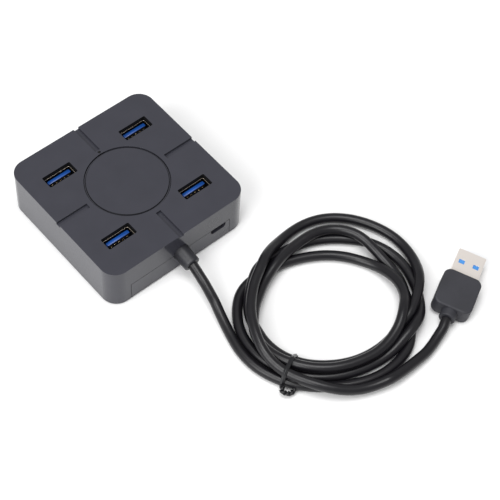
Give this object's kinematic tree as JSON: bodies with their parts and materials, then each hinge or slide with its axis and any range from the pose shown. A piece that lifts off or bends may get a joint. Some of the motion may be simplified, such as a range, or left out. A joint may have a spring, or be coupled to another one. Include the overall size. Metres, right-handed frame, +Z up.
{
  "type": "usb hub",
  "caption": "Flat square USB hub with upward-facing ports at the corners of its top, a Micro-B power jack, and a coiled captive cable ending in a Standard-A plug.",
  "frame": {"origin": "middle of the hub's underside, on the surface it stands on", "axes": "+Z up out of the top face with the ports; -Y out of the side that the cable leaves; +X to the right seen from that side"},
  "size_m": [0.1319, 0.1679, 0.0212],
  "materials": {
    "housing": "semi-gloss black moulded ABS with a very fine texture",
    "disc": "semi-gloss black moulded ABS, as the housing",
    "rubber": "matt black rubber",
    "steel": "bright plated steel",
    "board": "green solder mask",
    "chip": "black moulded epoxy",
    "aluminium_can": "bare aluminium can",
    "clear": "clear moulded acrylic",
    "port_metal": "warm nickel-plated steel sheet",
    "blue_plastic": "blue moulded insulator",
    "contact_metal": "gold-plated contacts",
    "moulding": "matt black soft PVC overmoulding",
    "jacket": "smooth black PVC cable jacket with a soft sheen",
    "tie": "black plastic-coated wire tie",
    "wire_red": "red insulation",
    "wire_black": "black insulation",
    "wire_white": "white insulation"
  },
  "bodies": {
    "root": {"top_housing": "housing", "bottom_cover": "housing", "centre_disc": "disc", "rubber_foot_front_left": "rubber", "rubber_foot_front_right": "rubber", "rubber_foot_back_right": "rubber", "rubber_foot_back_left": "rubber", "screw_front_left": "steel", "screw_front_right": "steel", "screw_back_right": "steel", "screw_back_left": "steel", "main_circuit_board": "board", "hub_controller_chip": "chip", "crystal": "steel", "voltage_regulator": "chip", "input_capacitor": "aluminium_can", "output_capacitor": "aluminium_can", "status_led": "clear", "led_light_pipe": "clear", "usb_port_shell_front_left": "port_metal", "usb_port_tongue_front_left": "blue_plastic", "usb_port_contacts_front_left": "contact_metal", "usb_port_shell_front_right": "port_metal", "usb_port_tongue_front_right": "blue_plastic", "usb_port_contacts_front_right": "contact_metal", "usb_port_shell_back_right": "port_metal", "usb_port_tongue_back_right": "blue_plastic", "usb_port_contacts_back_right": "contact_metal", "usb_port_shell_back_left": "port_metal", "usb_port_tongue_back_left": "blue_plastic", "usb_port_contacts_back_left": "contact_metal", "power_jack_shell": "port_metal", "power_jack_tongue": "chip", "cable_boot": "moulding", "cable_inner_lead": "jacket", "power_wire": "wire_red", "ground_wire": "wire_black", "data_wire_positive": "wire_white", "data_wire_negative": "blue_plastic", "cable_lead": "jacket", "cable_coil": "jacket", "cable_tail": "jacket", "twist_tie": "tie", "plug_body": "moulding", "plug_shell": "port_metal", "plug_blade": "blue_plastic", "plug_contacts": "contact_metal"}
  },
  "joints": []
}
